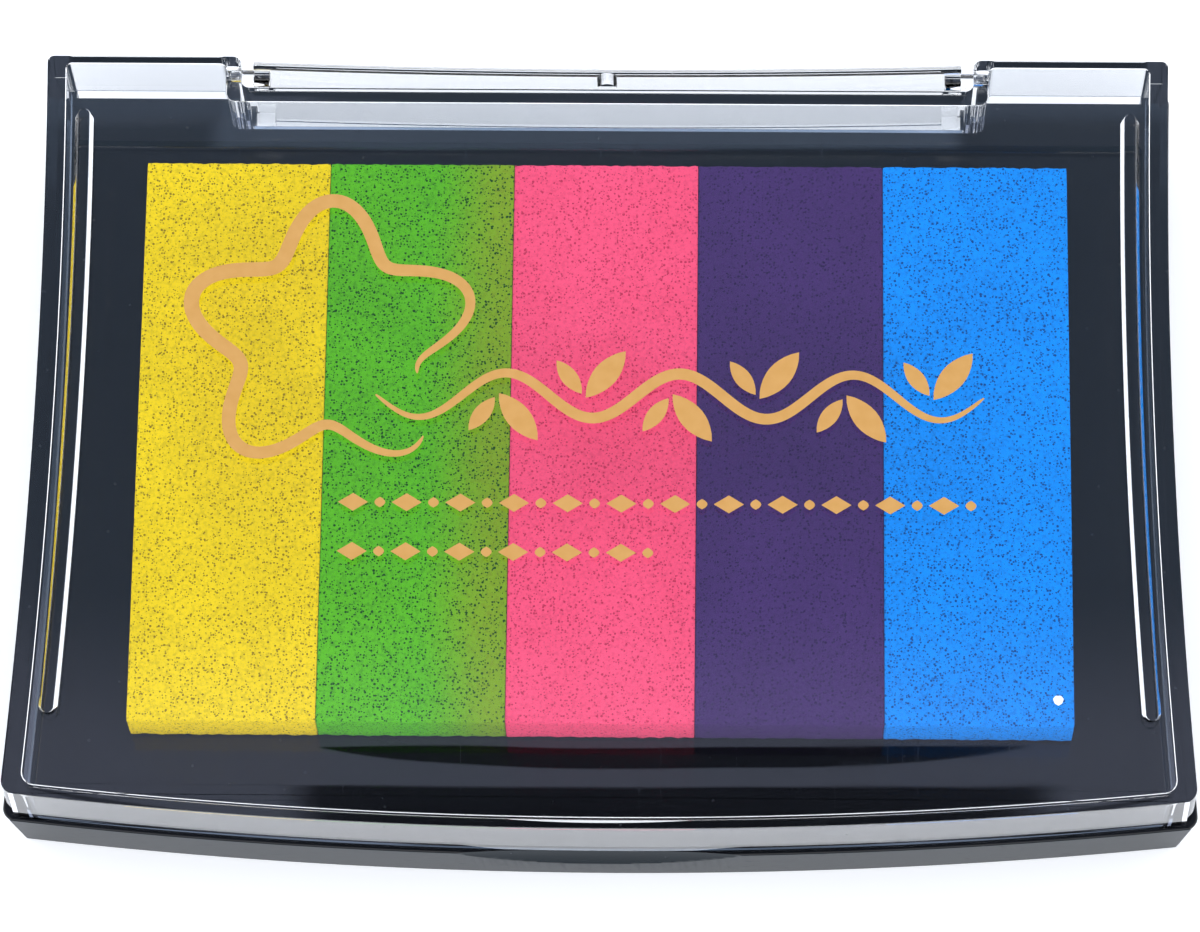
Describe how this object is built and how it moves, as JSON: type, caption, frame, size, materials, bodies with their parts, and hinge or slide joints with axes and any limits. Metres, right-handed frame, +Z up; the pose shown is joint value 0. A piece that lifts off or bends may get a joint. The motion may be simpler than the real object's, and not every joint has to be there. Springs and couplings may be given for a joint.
{
  "type": "ink pad",
  "caption": "Multi-colour foam stamp pad in a flat black tray, with a clear waisted lid on a double hinge that folds right round under the tray.",
  "frame": {"origin": "on the surface the pad stands on, under the middle of the case", "axes": "+X along the long side to the right, +Y from the thumb scoop at the front to the hinge at the rear, +Z up"},
  "size_m": [0.12, 0.0824, 0.0196],
  "materials": {
    "tray_black": "polished",
    "cover_black": "fine texture",
    "label_paper": "uncoated paper, blank",
    "backing_tape": "adhesive tape",
    "foam_yellow": "open-cell foam, inked",
    "foam_green": "open-cell foam, inked",
    "foam_pink": "open-cell foam, inked",
    "foam_purple": "open-cell foam, inked",
    "foam_blue": "open-cell foam, inked",
    "link_clear": "clear polystyrene",
    "lid_clear": "clear polystyrene"
  },
  "bodies": {
    "base": {"tray": "tray_black", "bottom_cover": "cover_black", "blank_label": "label_paper", "backing_yellow": "backing_tape", "backing_green": "backing_tape", "backing_pink": "backing_tape", "backing_purple": "backing_tape", "backing_blue": "backing_tape", "foam_yellow": "foam_yellow", "foam_green": "foam_green", "foam_pink": "foam_pink", "foam_purple": "foam_purple", "foam_blue": "foam_blue"},
    "link": {"hinge_link": "link_clear"},
    "lid": {"clear_lid": "lid_clear"}
  },
  "joints": [
    {"name": "link_hinge", "type": "hinge", "parent": "base", "child": "link", "pos_m": [0, 0.03965, 0.00735], "axis": [-1, 0, 0], "range_deg": [0, 175]},
    {"name": "lid_hinge", "type": "hinge", "parent": "link", "child": "lid", "pos_m": [0, 0.03965, 0.0173], "axis": [-1, 0, 0], "range_deg": [0, 175]}
  ],
  "couplings": [
    {"joint": "lid_hinge", "follows": "link_hinge", "ratio": 1}
  ]
}
